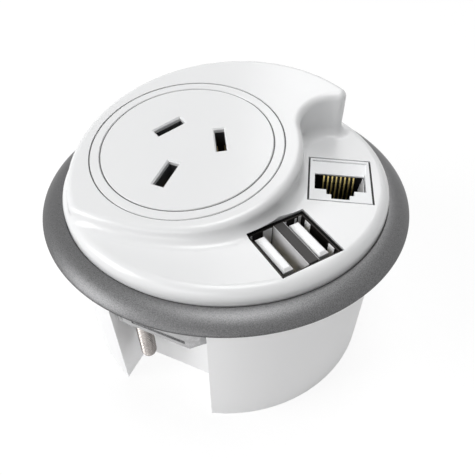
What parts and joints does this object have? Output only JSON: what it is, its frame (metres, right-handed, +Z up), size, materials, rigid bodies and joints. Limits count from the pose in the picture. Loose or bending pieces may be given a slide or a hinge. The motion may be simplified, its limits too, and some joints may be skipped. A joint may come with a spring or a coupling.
{
  "type": "in-desk power module",
  "caption": "Round in-desk power module: tilted mains socket, network jack and twin USB ports in a curved white cover, grey bezel, drum body with swing-out desk clamps.",
  "frame": {"origin": "centre of the bezel's underside, on the desk surface", "axes": "+Z up out of the desk, along the drum's axis; +Y toward the high side of the platform; -Y toward the front clamp; +X toward the data jack"},
  "size_m": [0.09, 0.09, 0.0613],
  "materials": {
    "cover_white": "moulded gloss",
    "face_white": "moulded gloss",
    "housing_white": "moulded satin",
    "bezel_grey": "satin metallic",
    "jack_white": "moulded gloss",
    "jack_black": "moulded matte",
    "contact_gold": "plated",
    "contact_brass": "stamped",
    "port_steel": "folded sheet",
    "port_black": "moulded matte",
    "tongue_white": "moulded",
    "screw_steel": "zinc plated",
    "clamp_steel": "cast, bead blasted",
    "retainer_grey": "moulded",
    "base_socket": "moulded",
    "board_green": "solder mask",
    "core_dark": "ferrite",
    "can_metal": "drawn can",
    "rubber_black": "moulded"
  },
  "bodies": {
    "module": {"bezel_ring": "bezel_grey", "top_cover": "cover_white", "socket_trim_ring": "face_white", "socket_face": "face_white", "socket_base": "base_socket", "socket_screws": "screw_steel", "active_contact": "contact_brass", "neutral_contact": "contact_brass", "earth_contact": "contact_brass", "terminal_screws": "screw_steel", "jack_housing": "jack_white", "jack_insert": "jack_black", "jack_contacts": "contact_gold", "jack_terminal_block": "jack_black", "usb_shell": "port_steel", "usb_carrier": "port_black", "usb_centre_web": "port_black", "usb_tongues": "tongue_white", "usb_contacts": "contact_gold", "port_retainer": "retainer_grey", "retainer_screws": "screw_steel", "charger_board": "board_green", "board_screws": "screw_steel", "charger_transformer": "core_dark", "charger_capacitors": "can_metal", "body_housing": "housing_white", "cover_screws": "screw_steel", "base_plate": "housing_white", "base_screws": "screw_steel", "cord_grommet": "rubber_black", "cord_clamp": "retainer_grey", "cord_clamp_screws": "screw_steel"},
    "clamp_screw_front": {"clamp_screw_front": "screw_steel", "clamp_washer_front": "screw_steel"},
    "clamp_nut_front": {"clamp_nut_front": "clamp_steel"},
    "clamp_arm_front": {"clamp_arm_front": "clamp_steel"},
    "clamp_screw_rear": {"clamp_screw_rear": "screw_steel", "clamp_washer_rear": "screw_steel"},
    "clamp_nut_rear": {"clamp_nut_rear": "clamp_steel"},
    "clamp_arm_rear": {"clamp_arm_rear": "clamp_steel"}
  },
  "joints": [
    {"name": "clamp_screw_front_turn", "type": "hinge", "parent": "module", "child": "clamp_screw_front", "pos_m": [-0.0074, -0.0332, -0.0175], "axis": [0, 0, 1], "range_deg": [0, 7458]},
    {"name": "clamp_nut_front_travel", "type": "slide", "parent": "module", "child": "clamp_nut_front", "axis": [0, 0, -1], "range_m": [0, 0.0145]},
    {"name": "clamp_arm_front_swing", "type": "hinge", "parent": "clamp_nut_front", "child": "clamp_arm_front", "pos_m": [-0.0074, -0.0332, -0.0111], "axis": [0, 0, -1], "range_deg": [0, 90]},
    {"name": "clamp_screw_rear_turn", "type": "hinge", "parent": "module", "child": "clamp_screw_rear", "pos_m": [0.0074, 0.0332, -0.0175], "axis": [0, 0, 1], "range_deg": [0, 7458]},
    {"name": "clamp_nut_rear_travel", "type": "slide", "parent": "module", "child": "clamp_nut_rear", "axis": [0, 0, -1], "range_m": [0, 0.0145]},
    {"name": "clamp_arm_rear_swing", "type": "hinge", "parent": "clamp_nut_rear", "child": "clamp_arm_rear", "pos_m": [0.0074, 0.0332, -0.0111], "axis": [0, 0, -1], "range_deg": [0, 90]}
  ],
  "couplings": [
    {"joint": "clamp_screw_front_turn", "follows": "clamp_nut_front_travel", "rad_per_m": 8976},
    {"joint": "clamp_screw_rear_turn", "follows": "clamp_nut_rear_travel", "rad_per_m": 8976}
  ]
}
